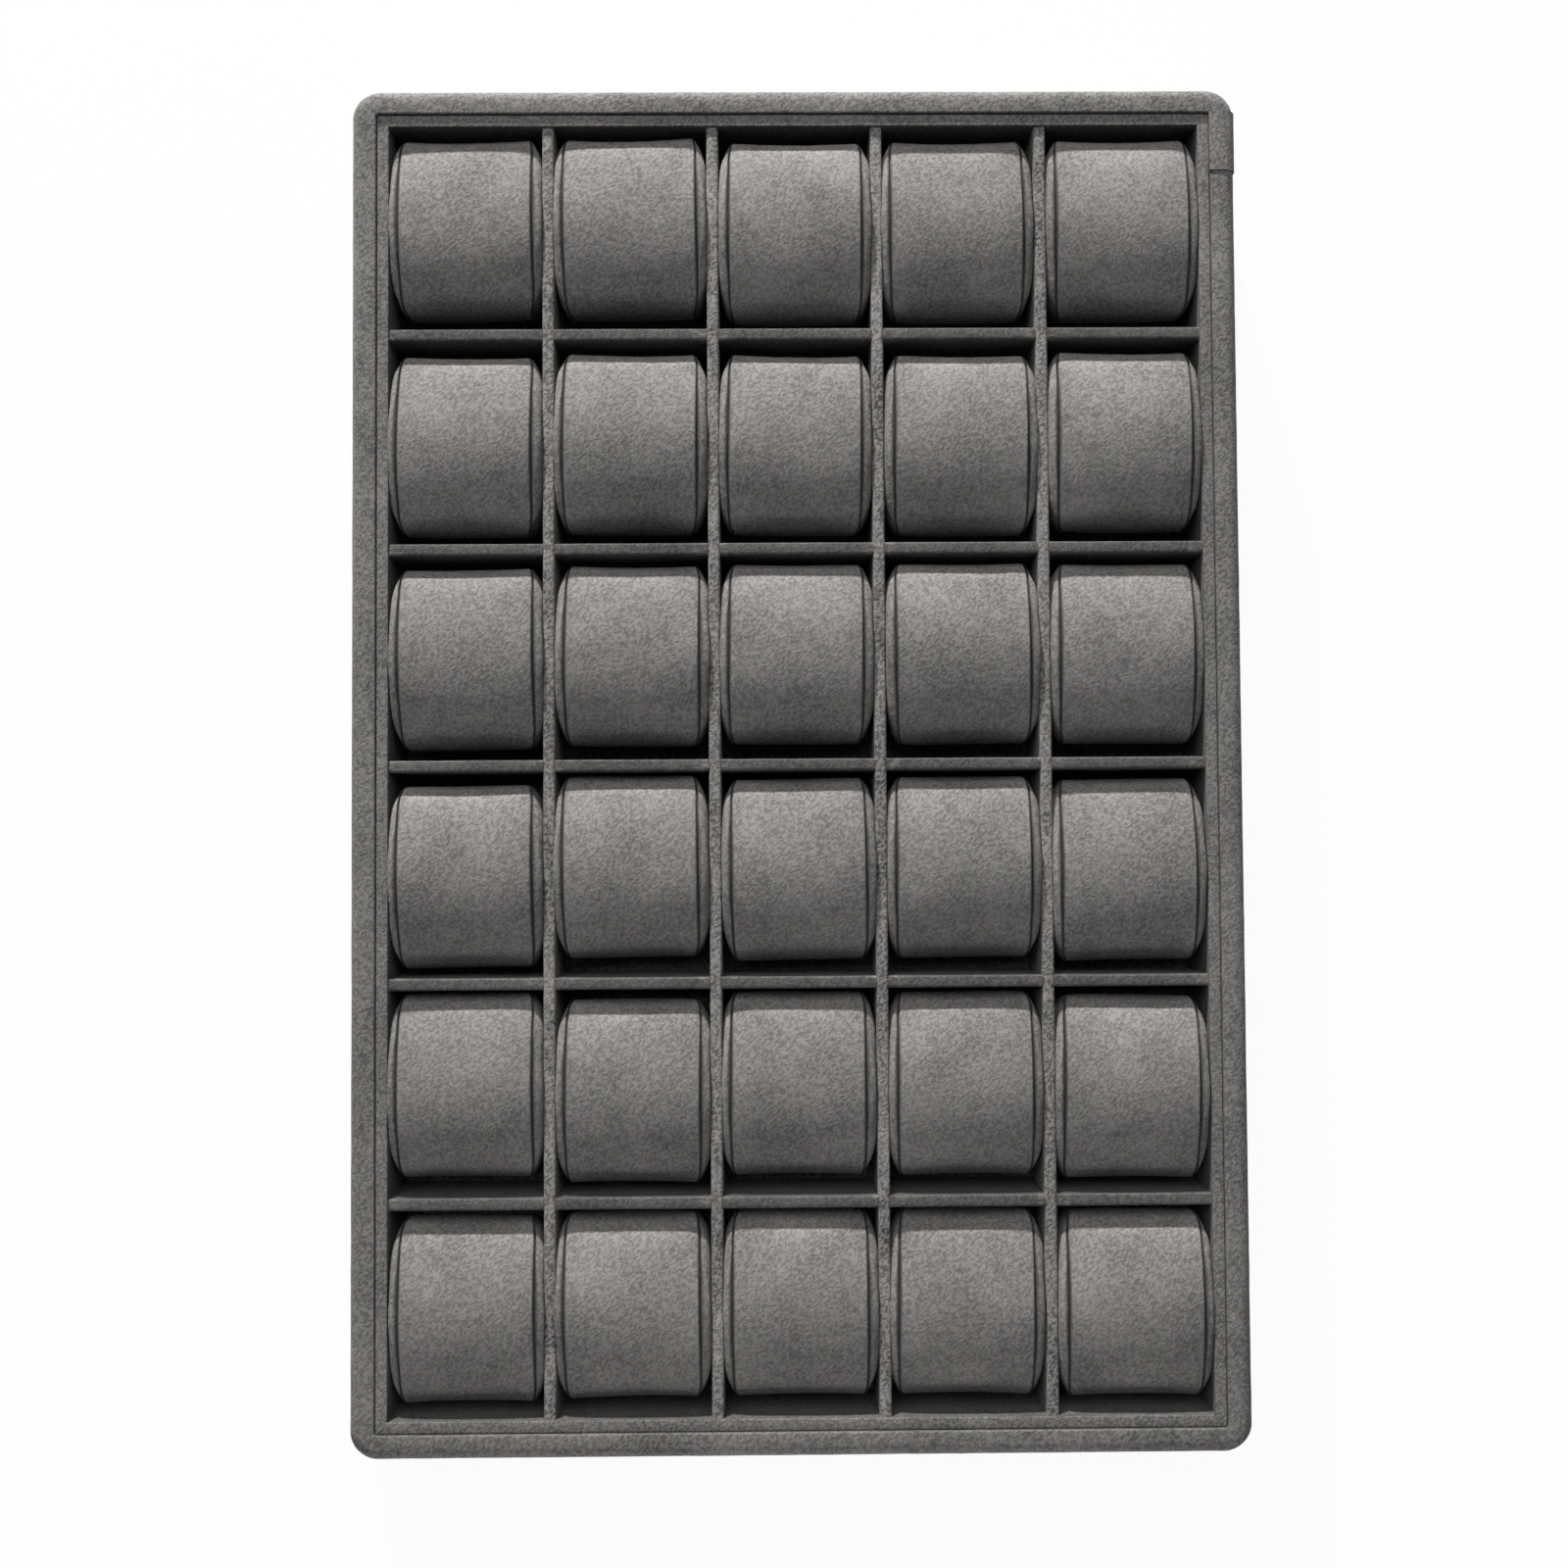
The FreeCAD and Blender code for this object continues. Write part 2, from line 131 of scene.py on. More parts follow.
class Look:
    """One material, or the world, and the nodes that it is made of."""

    def __init__(self, owner):
        owner.use_nodes = True
        self.owner = owner
        self.tree = owner.node_tree
        self.tree.nodes.clear()

    def node(self, kind, settings, inputs, output=0):
        """Adds a node, makes its settings, fills or links its sockets and gives one of its outputs."""
        made = self.tree.nodes.new(kind)
        for name, setting in settings.items():
            setattr(made, name, setting)
        for name, value in inputs.items():
            if isinstance(value, Value):
                self.tree.links.new(value.socket, made.inputs[name])
            else:
                made.inputs[name].default_value = value
        return Value(self, made.outputs[output]) if made.outputs else None

    def place(self, turn=0.0, stretch=(1.0, 1.0, 1.0)):
        """Object coordinates for a pattern that is stretched and then turned about Z."""
        point = self.node("ShaderNodeTexCoord", {}, {}, "Object")
        inputs = {"Vector": point, "Rotation": (0.0, 0.0, turn), "Scale": stretch}
        return self.node("ShaderNodeMapping", {"vector_type": "TEXTURE"}, inputs)

    def noise(self, point, size, detail=2.0, roughness=0.5, curl=0.0):
        """Noise from 0 to 1 whose blotches are about size metres across, and worm-like with curl."""
        inputs = {"Vector": point, "Scale": 1 / size, "Detail": detail, "Roughness": roughness}
        inputs["Distortion"] = curl
        return self.node("ShaderNodeTexNoise", {}, inputs)

    def ramp(self, value, low, high):
        """0 below low, 1 above high and a smooth rise between."""
        settings = {"interpolation_type": "SMOOTHSTEP"}
        return self.node("ShaderNodeMapRange", settings, {0: value, 1: low, 2: high})

    def mix(self, share, first, second):
        """A colour between two others."""
        return self.node("ShaderNodeMix", {"data_type": "RGBA"}, {0: share, 6: first, 7: second}, 2)

    def bump(self, height, distance, strength):
        """A normal that is tipped by a height."""
        inputs = {"Height": height, "Distance": distance, "Strength": strength}
        return self.node("ShaderNodeBump", {}, inputs)

    def surface(self, shader):
        """Gives the finished material, with a shader as its surface."""
        self.node("ShaderNodeOutputMaterial", {}, {"Surface": shader})
        return self.owner


def grey(level, warmth=0.0):
    """A grey that leans to red and away from blue by warmth."""
    return (level * (1 + warmth), level, level * (1 - warmth), 1.0)


SUEDE_WARMTH = 0.04
# Painted light: the pale colour of the lit patches on row tops beside the crossings.
SUEDE_LIT_PATCH = grey(0.24, SUEDE_WARMTH)
# Painted shade: the near-black that the suede turns to in seam grooves and on inner walls and top edges.
SUEDE_PAINTED_SHADE = grey(0.012, SUEDE_WARMTH)
SHADE_LAYER = "painted_shade_layer"
GRAIN = 0.8 * MM
GRAIN_TURN = math.radians(-48)
GRAIN_STRETCH = (1.0, 1.8, 1.0)
GRAIN_CURL = 0.6
NAP = 24 * MM
SMUDGE = 5 * MM
FUZZ = GRAIN / 3
GRAIN_SHARE = 0.55
NAP_SHARE = 0.8
SMUDGE_SHARE = 0.4
FUZZ_SHARE = 0.3
PATTERN_SURPLUS = (GRAIN_SHARE + NAP_SHARE + SMUDGE_SHARE - 1) / 2
PEBBLE_DEPTH = 0.2 * MM
PEBBLE_STRENGTH = 0.8


def suede(name, level, contrast, lit_patches=False):
    """Suede with a pebbled grain and a nap that is brushed lighter and darker in patches. It carries
    painted shade where a mesh marks it: in the pillows' seam grooves, and on the inner walls and top edges
    of the rim, liner and row strips."""
    look = Look(bpy.data.materials.new(name))
    slanted = look.place(GRAIN_TURN, GRAIN_STRETCH)
    grain = look.noise(slanted, GRAIN, detail=1.5, roughness=0.5, curl=GRAIN_CURL)
    plain = look.place()
    nap = look.noise(plain, NAP, detail=3.0, roughness=0.55)
    smudge = look.noise(plain, SMUDGE, detail=3.0, roughness=0.6)
    pebbles = look.ramp(grain, low=0.36, high=0.64)
    tone = pebbles * GRAIN_SHARE + nap * NAP_SHARE + smudge * SMUDGE_SHARE - PATTERN_SURPLUS
    dark = grey(level * (1 - contrast), SUEDE_WARMTH)
    light = grey(level * (1 + contrast), SUEDE_WARMTH)
    colour = look.mix(tone, dark, light)
    # Painted light on a row top near the crossings.
    if lit_patches:
        colour = look.mix(crossing_light_patches(look, smudge), colour, SUEDE_LIT_PATCH)
    # Painted shade, read from the mesh: darker in seam grooves and on inner walls and top edges, where
    # shade falls.
    painted_shade = look.node("ShaderNodeAttribute", {"attribute_name": SHADE_LAYER}, {}, "Fac")
    colour = look.mix(painted_shade, colour, SUEDE_PAINTED_SHADE)
    fuzz = look.noise(plain, FUZZ, detail=2.0, roughness=0.7)
    normal = look.bump(grain + fuzz * FUZZ_SHARE, PEBBLE_DEPTH, PEBBLE_STRENGTH)
    shader = look.node(
        "ShaderNodeBsdfPrincipled",
        {},
        {
            "Base Color": colour,
            "Roughness": 0.88 + grain * 0.1,
            "Normal": normal,
            "Specular IOR Level": 0.12,
            "Sheen Weight": 0.12,
            "Sheen Roughness": 0.5,
            "Sheen Tint": grey(0.6, 0.03),
        },
    )
    return look.surface(shader)


LIGHT_PATCH_REACH = 9 * MM
LIGHT_PATCH_SHARE = 0.8
STREAK = 1.1 * MM
STREAK_STRETCH = (2.0, 1.0, 1.0)


def crossing_light_patches(look, smudge):
    """Painted light: pale streaky patches on a row divider next to the column dividers that it crosses,
    where light passes between the pillows onto its shaded top.
    """
    point = look.node("ShaderNodeTexCoord", {}, {}, "Object")
    across = look.node("ShaderNodeSeparateXYZ", {}, {"Vector": point})
    offset = across - column_places[0]
    from_crossing = offset.math("PINGPONG", offset, column_pitch / 2)
    near = 1 - look.ramp(from_crossing, divider_width / 2, divider_width / 2 + LIGHT_PATCH_REACH)
    streaks = look.noise(look.place(stretch=STREAK_STRETCH), STREAK, detail=2.0, roughness=0.6)
    patches = look.ramp(smudge, low=0.42, high=0.62)
    strands = look.ramp(streaks, low=0.45, high=0.65)
    return near * patches * strands * LIGHT_PATCH_SHARE


FLECK = 2.5 * MM
FLECK_TURN = 0.4
FLECK_STRETCH = (1.0, 3.3, 1.0)
FLECK_SHARE = 0.7
BOARD_CLOUD = 30 * MM
BOARD_DARK = grey(0.2, 0.12)
BOARD_LIGHT = grey(0.34, 0.14)
FIBRE_DEPTH = 0.2 * MM


def fibre_board(name):
    """Grey pressed board, flecked with fibres."""
    look = Look(bpy.data.materials.new(name))
    fleck = look.noise(look.place(FLECK_TURN, FLECK_STRETCH), FLECK, detail=4.0, roughness=0.7)
    cloud = look.noise(look.place(), BOARD_CLOUD, detail=2.0)
    flecks = look.ramp(fleck, low=0.35, high=0.7)
    colour = look.mix(flecks * FLECK_SHARE + cloud * (1 - FLECK_SHARE), BOARD_DARK, BOARD_LIGHT)
    shader = look.node(
        "ShaderNodeBsdfPrincipled",
        {},
        {
            "Base Color": colour,
            "Roughness": 0.8 + fleck * 0.15,
            "Normal": look.bump(fleck, FIBRE_DEPTH, strength=0.4),
            "Specular IOR Level": 0.25,
        },
    )
    return look.surface(shader)


STRAND_STRETCH = 6.7
ONE_STRAND = 1.4 * MM
ONE_TURN = 0.7
OTHER_STRAND = 1.6 * MM
OTHER_TURN = -0.8
FELT_CLOUD = 18 * MM
FELT_CLOUD_SHARE = 0.2
STRAND_SHARE = (1 - FELT_CLOUD_SHARE) / 2
FELT_DARK = grey(0.02)
FELT_LIGHT = grey(0.09, 0.02)


def backing_felt(name):
    """Dark non-woven sheet, with loose fibres that lie in all directions."""
    look = Look(bpy.data.materials.new(name))
    one_way = look.place(ONE_TURN, (1.0, STRAND_STRETCH, 1.0))
    other_way = look.place(OTHER_TURN, (STRAND_STRETCH, 1.0, 1.0))
    one = look.noise(one_way, ONE_STRAND, detail=3.0, roughness=0.6)
    other = look.noise(other_way, OTHER_STRAND, detail=3.0, roughness=0.6)
    cloud = look.noise(look.place(), FELT_CLOUD, detail=3.0)
    tone = one * STRAND_SHARE + other * STRAND_SHARE + cloud * FELT_CLOUD_SHARE
    colour = look.mix(tone, FELT_DARK, FELT_LIGHT)
    shader = look.node(
        "ShaderNodeBsdfPrincipled",
        {},
        {
            "Base Color": colour,
            "Roughness": 0.85 + one * 0.12,
            "Normal": look.bump(one + other, FIBRE_DEPTH, strength=0.5),
            "Specular IOR Level": 0.2,
        },
    )
    return look.surface(shader)


tray_suede = suede("tray_suede", level=0.149, contrast=0.6)
column_suede = suede("column_divider_suede", level=0.179, contrast=0.85)
# The row suede is a darker copy of the tray suede: painted shade for the pillows' shadow over the row tops.
shaded_row_suede = suede("row_divider_shaded_suede", level=0.094, contrast=0.5, lit_patches=True)
pillow_suede = suede("pillow_suede", level=0.184, contrast=0.48)
board_look = fibre_board("fibre_board")
backing_look = backing_felt("backing_felt")


# Making pieces

def parts_of(geometry, kind):
    """The vertices, the edges or the faces of some geometry."""
    return [item for item in geometry if isinstance(item, kind)]


def extruded(bm, edges):
    """Extrudes a chain of edges in place, and gives its new vertices and the new chain."""
    geometry = bmesh.ops.extrude_edge_only(bm, edges=edges)["geom"]
    verts = parts_of(geometry, bmesh.types.BMVert)
    fresh = set(verts)
    chain = [edge for edge in parts_of(geometry, bmesh.types.BMEdge) if fresh.issuperset(edge.verts)]
    return verts, chain


def whole(bm):
    """All the geometry of a bmesh."""
    return bm.verts[:] + bm.edges[:] + bm.faces[:]


def mirrored(bm):
    """Adds the mirror half across X and closes the middle."""
    bmesh.ops.mirror(bm, geom=whole(bm), matrix=Matrix.Identity(4), merge_dist=TOUCHING, axis="X")
    bmesh.ops.recalc_face_normals(bm, faces=bm.faces)


def piece_from(bm, name, material, body, slot, *nodes):
    """A finished object from a bmesh, riding on a body."""
    mesh = bpy.data.meshes.new(name)
    bm.to_mesh(mesh)
    bm.free()
    return piece_of(mesh, name, material, body, slot, *nodes)


SHARP = math.radians(55)


def piece_of(mesh, name, material, body, slot, *nodes):
    """A finished object from a mesh, riding on a body and standing for the CAD nodes that are named."""
    mesh.shade_smooth()
    mesh.set_sharp_from_angle(angle=SHARP)
    mesh.materials.clear()
    mesh.materials.append(material)
    piece = bpy.data.objects.new(name, mesh)
    bpy.context.scene.collection.objects.link(piece)
    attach(piece, body)
    if nodes:
        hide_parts(*nodes)
    return piece


# Suede folded over the rim, the liner and the dividers

STEP = 5 * MM
CORNER_TURN = math.radians(45)
CORNER_STEPS = 7


def folded_suede(half_run, width, bottom, inner_bottom, top, roundings, corner=0.0, mitred=False):
    """Suede over an edge that runs along X with its outside at -Y: two walls and a rounded top.
    A corner turns both ends by 45 degrees, and a mitre cuts them at 45 degrees."""
    bm = bmesh.new()
    out, inner = -width / 2, width / 2
    profile = ((out, bottom), (out, top), (inner, top), (inner, inner_bottom))
    verts = [bm.verts.new((0.0, y, z)) for y, z in profile]
    edges = [bm.edges.new(pair) for pair in zip(verts, verts[1:])]
    for number in range(round((half_run - corner) / STEP)):
        verts, edges = extruded(bm, edges)
        bmesh.ops.translate(bm, verts=verts, vec=(STEP, 0.0, 0.0))
    for vert in verts:
        vert.co.x = half_run - corner - (vert.co.y - out if mitred else 0.0)
    if corner:
        pivot = (half_run - corner, out + corner, 0.0)
        bmesh.ops.spin(
            bm,
            geom=verts + edges,
            cent=pivot,
            axis=(0, 0, 1),
            angle=CORNER_TURN,
            steps=CORNER_STEPS,
        )
    mirrored(bm)
    if max(bm.faces, key=lambda face: face.calc_center_median().z).normal.z < 0:
        bmesh.ops.reverse_faces(bm, faces=bm.faces)
    round_creases(bm, roundings)
    return bm


CREASE = math.radians(60)
ROUND_STEPS = 5


def round_creases(bm, roundings):
    """Rounds the outer and the inner top edge, each by its own radius."""
    outer, inner = roundings
    creases = [edge for edge in bm.edges if edge.is_manifold and edge.calc_face_angle() > CREASE]
    on_outside = [edge for edge in creases if is_outer(edge)]
    on_inside = [edge for edge in creases if not is_outer(edge)]
    for edges, radius in ((on_outside, outer), (on_inside, inner)):
        bmesh.ops.bevel(
            bm,
            geom=edges,
            offset=radius,
            affect="EDGES",
            segments=ROUND_STEPS,
            profile=0.5,
            material=-1,
        )


def is_outer(edge):
    """Whether the wall beside a top edge faces away from the tray's middle."""
    wall = min(edge.link_faces, key=lambda face: abs(face.normal.z))
    return wall.normal.y < 0


# How much painted shade a strip's inner wall and inner top edge get.
INNER_PAINTED_SHADE = 0.55


def paint_inner_shade(bm, rounding):
    """Marks a strip's inner wall and its rounded top edge for painted shade, which darkens them."""
    layer = bm.verts.layers.float.new(SHADE_LAYER)
    top = max(vert.co.z for vert in bm.verts)
    for vert in bm.verts:
        if vert.co.y > 0:
            vert[layer] = INNER_PAINTED_SHADE * min(1.0, (top - vert.co.z) / rounding)


def tray_sides(half_width, half_length):
    """Each side of a frame: its name, half its run, its reach from the middle and its turn in degrees."""
    return (
        ("front", half_width, half_length, 0),
        ("right", half_length, half_width, 90),
        ("back", half_width, half_length, 180),
        ("left", half_length, half_width, 270),
    )


def laid_at_side(bm, width, reach, turn):
    """Turns a strip to one side of the tray and puts its outside at a reach from the middle."""
    middle_reach = reach - width / 2
    angle = math.radians(turn)
    laid(bm, turn, middle_reach * math.sin(angle), -middle_reach * math.cos(angle))


def laid(bm, turn, x, y):
    """Turns a strip about Z and puts its middle at a place."""
    place = Matrix.Translation((x, y, 0.0)) @ Matrix.Rotation(math.radians(turn), 4, "Z")
    bmesh.ops.transform(bm, matrix=place, verts=bm.verts)


SEED_STEP = 5.0


def ruffled(bm, height, size, seed):
    """Small unevenness of glued suede, always outwards."""
    bm.normal_update()
    for vert in bm.verts:
        share = 0.5 + 0.5 * noise.noise(vert.co / size + Vector((seed, 0.0, 0.0)))
        vert.co += vert.normal * height * share


def thickened(bm, thickness):
    """Gives a sheet its thickness, inwards."""
    bmesh.ops.solidify(bm, geom=bm.faces[:], thickness=thickness)


RIM_CORNER = 9.8 * MM
RIM_ROUNDINGS = (4.3 * MM, 0.5 * MM)
RIM_RUFFLE = 0.2 * MM
RIM_RUFFLE_SIZE = 7 * MM


def rim_covers():
    """Suede round the four rim rails, from under the base to the groove beside the liner."""
    for number, (side, half_run, reach, turn) in enumerate(tray_sides(cad_high.x, cad_high.y)):
        bm = folded_suede(half_run, rim_width, base_bottom, base_top, rim_top, RIM_ROUNDINGS, RIM_CORNER)
        paint_inner_shade(bm, RIM_ROUNDINGS[1])
        laid_at_side(bm, rim_width, reach, turn)
        ruffled(bm, RIM_RUFFLE, RIM_RUFFLE_SIZE, number * SEED_STEP)
        thickened(bm, COVER_THICKNESS)
        piece_from(bm, f"rim_suede_{side}", tray_suede, "tray", "tray_suede", f"rim_cover_{side}")


LAP_HALF = 10.5 * MM
LAP_MIDDLE = 220 * MM
LAP_RAISE = 0.4 * MM
LAP_TUCK = 0.8 * MM
LAP_SEED = 5.0


def rim_lap():
    """The end of the right rim's suede, lapped over itself and the groove near the back corner."""
    inside = cad_high.x - rim_width - GROOVE_GAP
    outside = cad_high.x + LAP_RAISE
    top = rim_top + LAP_RAISE
    bm = folded_suede(LAP_HALF, outside - inside, base_bottom, rim_top - LAP_TUCK, top, RIM_ROUNDINGS)
    paint_inner_shade(bm, RIM_ROUNDINGS[1])
    laid(bm, 90, (inside + outside) / 2, LAP_MIDDLE)
    ruffled(bm, RIM_RUFFLE, RIM_RUFFLE_SIZE, LAP_SEED)
    thickened(bm, COVER_THICKNESS)
    piece_from(bm, "rim_suede_lap", tray_suede, "tray", "tray_suede")


LINER_ROUNDINGS = (0.5 * MM, 0.3 * MM)
LINER_RUFFLE = 0.1 * MM
LINER_SEED = 30.0
STRIP_RUFFLE_SIZE = 6 * MM


def liner_covers():
    """Suede over the four liner boards, mitred where they meet."""
    for number, (side, half_run, reach, turn) in enumerate(tray_sides(liner_high.x, liner_high.y)):
        bm = folded_suede(
            half_run, liner_width, floor_top, floor_top, liner_high.z, LINER_ROUNDINGS, mitred=True
        )
        paint_inner_shade(bm, LINER_ROUNDINGS[1])
        laid_at_side(bm, liner_width, reach, turn)
        ruffled(bm, LINER_RUFFLE, STRIP_RUFFLE_SIZE, LINER_SEED + number * SEED_STEP)
        thickened(bm, COVER_THICKNESS)
        piece_from(bm, f"liner_suede_{side}", tray_suede, "tray", "tray_suede", "liner_covers")


COLUMN_ROUNDINGS = (0.9 * MM, 0.9 * MM)
ROW_ROUNDINGS = (0.8 * MM, 0.6 * MM)
DIVIDER_RUFFLE = 0.12 * MM
COLUMN_SEED = 60.0
ROW_SEED = 90.0


def column_covers():
    """Suede over the column dividers, whose tops run unbroken from back to front."""
    for number, x in enumerate(column_places, start=1):
        bm = folded_suede(
            column_high.y, divider_width, floor_top, floor_top, column_high.z, COLUMN_ROUNDINGS
        )
        laid(bm, 90, x, 0.0)
        ruffled(bm, DIVIDER_RUFFLE, STRIP_RUFFLE_SIZE, COLUMN_SEED + number * SEED_STEP)
        thickened(bm, COVER_THICKNESS)
        name = f"column_suede_{number}"
        piece_from(bm, name, column_suede, "tray", "tray_suede", "column_divider_covers")


def row_covers():
    """Suede over the row dividers, in lengths between the columns."""
    for number, y in enumerate(row_places, start=1):
        bm = folded_suede(
            half_cell_width, divider_width, floor_top, floor_top, row_high.z, ROW_ROUNDINGS
        )
        paint_inner_shade(bm, ROW_ROUNDINGS[1])
        laid(bm, 0, -column_pitch * (COLUMNS - 1) / 2, y)
        length = whole(bm)
        for column in range(1, COLUMNS):
            copied = bmesh.ops.duplicate(bm, geom=length)["geom"]
            verts = parts_of(copied, bmesh.types.BMVert)
            bmesh.ops.translate(bm, verts=verts, vec=(column_pitch * column, 0.0, 0.0))
        ruffled(bm, DIVIDER_RUFFLE, STRIP_RUFFLE_SIZE, ROW_SEED + number * SEED_STEP)
        thickened(bm, COVER_THICKNESS)
        piece_from(bm, f"shaded_row_suede_{number}", shaded_row_suede, "tray", "tray_suede", "row_divider_covers")


# Pillows: a suede wrap round a foam core, sewn to a swelling panel at each end

BELLY = 26 * MM
SHOULDER = 6 * MM
SEAM_DRAW = 1.0 * MM
SEAM_DROP = 1.2 * MM
WRAP_HALF = 23.4 * MM
RING_POINTS = 120
WRAP_STATIONS = (0.16, 0.32, 0.48, 0.62, 0.75, 0.86, 0.93, 0.965, 0.985, 1.0)
PANEL_OUT = 3.2 * MM
PANEL_ROUNDING = 2.4 * MM
PANEL_REACH = 30.5 * MM
PANEL_TAPER = 6
PANEL_LEAST = 0.08
PANEL_ANGLES = (8, 22, 42, 62, 80)
PANEL_INSETS = tuple(inset * MM for inset in (3.4, 5.2, 8.0, 11.0, 14.0))
TIP_SIDES = 6


def pillow_outline():
    """Even points round a pillow's side view at its seams, from its widest point over the crown."""
    half = pillow_size.y / 2 - SEAM_DRAW
    rise = pillow_size.z - SEAM_DROP - BELLY
    reach = half - SHOULDER
    flat = half - BELLY
    crown = (rise**2 + reach**2 - SHOULDER**2) / (2 * (rise - SHOULDER))
    turn = math.atan2(crown - rise, reach)
    shoulder_length = SHOULDER * turn
    upper_length = shoulder_length + crown * (math.pi / 2 - turn)
    belly_length = BELLY * math.pi / 2
    lower_length = belly_length + flat

    def on_arc(y, z, radius, angle):
        return Vector((0.0, y + radius * math.cos(angle), z + radius * math.sin(angle)))

    def upper(share):
        along = share * upper_length
        if along < shoulder_length:
            return on_arc(reach, BELLY, SHOULDER, along / SHOULDER)
        return on_arc(0.0, BELLY + rise - crown, crown, turn + (along - shoulder_length) / crown)

    def lower(share):
        along = share * lower_length
        if along < belly_length:
            return on_arc(flat, BELLY, BELLY, -along / BELLY)
        return Vector((0.0, flat - (along - belly_length), 0.0))

    quarter = RING_POINTS // 4
    shares = [step / quarter for step in range(quarter)]
    other_side = Matrix.Scale(-1, 4, (0, 1, 0))
    points = [upper(share) for share in shares]
    points += [other_side @ upper(1 - share) for share in shares]
    points += [other_side @ lower(share) for share in shares]
    points += [lower(1 - share) for share in shares]
    return points


def panel_rings():
    """How far each ring of an end panel stands out from the seam, and how far inside the outline it is."""
    angles = [math.radians(angle) for angle in PANEL_ANGLES]
    rounded = [(PANEL_OUT * math.sin(angle), PANEL_ROUNDING * (1 - math.cos(angle))) for angle in angles]
    return rounded + [(PANEL_OUT, inset) for inset in PANEL_INSETS]


def fullness(y):
    """The share of its swelling that an end panel has at a place along the pillow."""
    return max(PANEL_LEAST, 1 - (abs(y) / PANEL_REACH) ** PANEL_TAPER)


def pillow_blank():
    """A pillow before it swells: the same side view from seam to seam, and flat ends with a round edge."""
    bm = bmesh.new()
    ring = bmesh.ops.create_circle(bm, cap_ends=False, radius=1.0, segments=RING_POINTS)["verts"]
    for vert, point in zip(ring, pillow_outline()):
        vert.co = point
    chain = bm.edges[:]
    for share in WRAP_STATIONS:
        verts, chain = extruded(bm, chain)
        for vert in verts:
            vert.co.x = share * WRAP_HALF
    half_length = pillow_size.y / 2 - SEAM_DRAW
    half_height = (pillow_size.z - SEAM_DROP) / 2
    tip = BELLY
    previous = (1.0, 1.0)
    for out, inset in panel_rings():
        verts, chain = extruded(bm, chain)
        share = (1 - inset / half_length, 1 - inset / half_height)
        by_length, by_height = (new / old for new, old in zip(share, previous))
        for vert in verts:
            vert.co.y *= by_length
            vert.co.z = half_height + (vert.co.z - half_height) * by_height
            vert.co.x = WRAP_HALF + out * fullness(vert.co.y)
        tip = half_height + (tip - half_height) * by_height
        previous = share
    above = [edge for edge in chain if all(vert.co.z > tip + CLOSE for vert in edge.verts)]
    below = [edge for edge in chain if all(vert.co.z < tip - CLOSE for vert in edge.verts)]
    bmesh.ops.bridge_loops(bm, edges=above + below)
    bmesh.ops.holes_fill(bm, edges=[edge for edge in chain if edge.is_boundary], sides=TIP_SIDES)
    mirrored(bm)
    return bm


def is_seam(point):
    """Whether a point of the blank is on one of the seams."""
    return abs(abs(point.x) - WRAP_HALF) < CLOSE


def is_panel(point):
    """Whether a point of the blank is on one of the end panels."""
    return abs(point.x) > WRAP_HALF + CLOSE


HELD = "held"
SWELL_FRAMES = 20
SWELL_QUALITY = 6
PRESSURE = 65.0
PRESSURE_LEAST = 0.9
PRESSURE_STEP = 0.08
POINT_MASS = 0.01
STRETCH = 1.5
BEND = 0.05
WRAP_SWELL = 1.4 * MM
PANEL_SWELL = 0.8 * MM


def swollen(blank, pressure):
    """Where the blank's points are after pressure has filled it, held at its seams and base."""
    trial = bpy.data.objects.new("swelling", blank)
    bpy.context.scene.collection.objects.link(trial)
    held = [vert.index for vert in blank.vertices if is_seam(vert.co) or vert.co.z < CLOSE]
    trial.vertex_groups.new(name=HELD).add(held, 1.0, "REPLACE")
    cloth = trial.modifiers.new("cloth", "CLOTH")
    cloth.point_cache.frame_start = 1
    cloth.point_cache.frame_end = SWELL_FRAMES
    cloth.collision_settings.use_collision = False
    cloth.settings.quality = SWELL_QUALITY
    cloth.settings.mass = POINT_MASS
    cloth.settings.tension_stiffness = STRETCH
    cloth.settings.compression_stiffness = STRETCH
    cloth.settings.shear_stiffness = STRETCH / 3
    cloth.settings.bending_stiffness = BEND
    cloth.settings.use_pressure = True
    cloth.settings.uniform_pressure_force = pressure
    cloth.settings.vertex_group_mass = HELD
    cloth.settings.effector_weights.gravity = 0.0
    for number in range(1, SWELL_FRAMES + 1):
        bpy.context.scene.frame_set(number)
    filled = trial.evaluated_get(bpy.context.evaluated_depsgraph_get())
    moved = [vert.co.copy() for vert in filled.data.vertices]
    bpy.data.objects.remove(trial)
    return moved


def limited(move, most):
    """A move that never gets longer than most."""
    length = move.length
    if length < TOUCHING:
        return move
    return move * (most * math.tanh(length / most) / length)


SEAM_DEPTH = 2.0 * MM
# How far the painted shade of a seam reaches to each side of it.
SEAM_SHADE_SPREAD = 0.8 * MM
OVERHANG = 1.3 * MM
OVERHANG_SHARE = 0.72
OVERHANG_EDGE = 0.2 * MM
SHOULDER_DROP = 1.5 * MM
DIVIDER_CLEARANCE = 0.15 * MM


def bell(value, low, high):
    """A smooth hump from low to high."""
    share = (value - low) / (high - low)
    return math.sin(math.pi * share) ** 2 if 0 < share < 1 else 0.0


CORNER_INSET = 1.6 * MM
CORNER_REACH = 8 * MM


def narrowing(y):
    """A pillow's width at a place along it, as a share: less at the rounded front and back corners."""
    over = max(0.0, abs(y) - (pillow_size.y / 2 - SEAM_DRAW - CORNER_REACH))
    bend = 1 - math.sqrt(max(0.0, 1 - (over / CORNER_REACH) ** 2))
    return 1 - CORNER_INSET / WRAP_HALF * bend


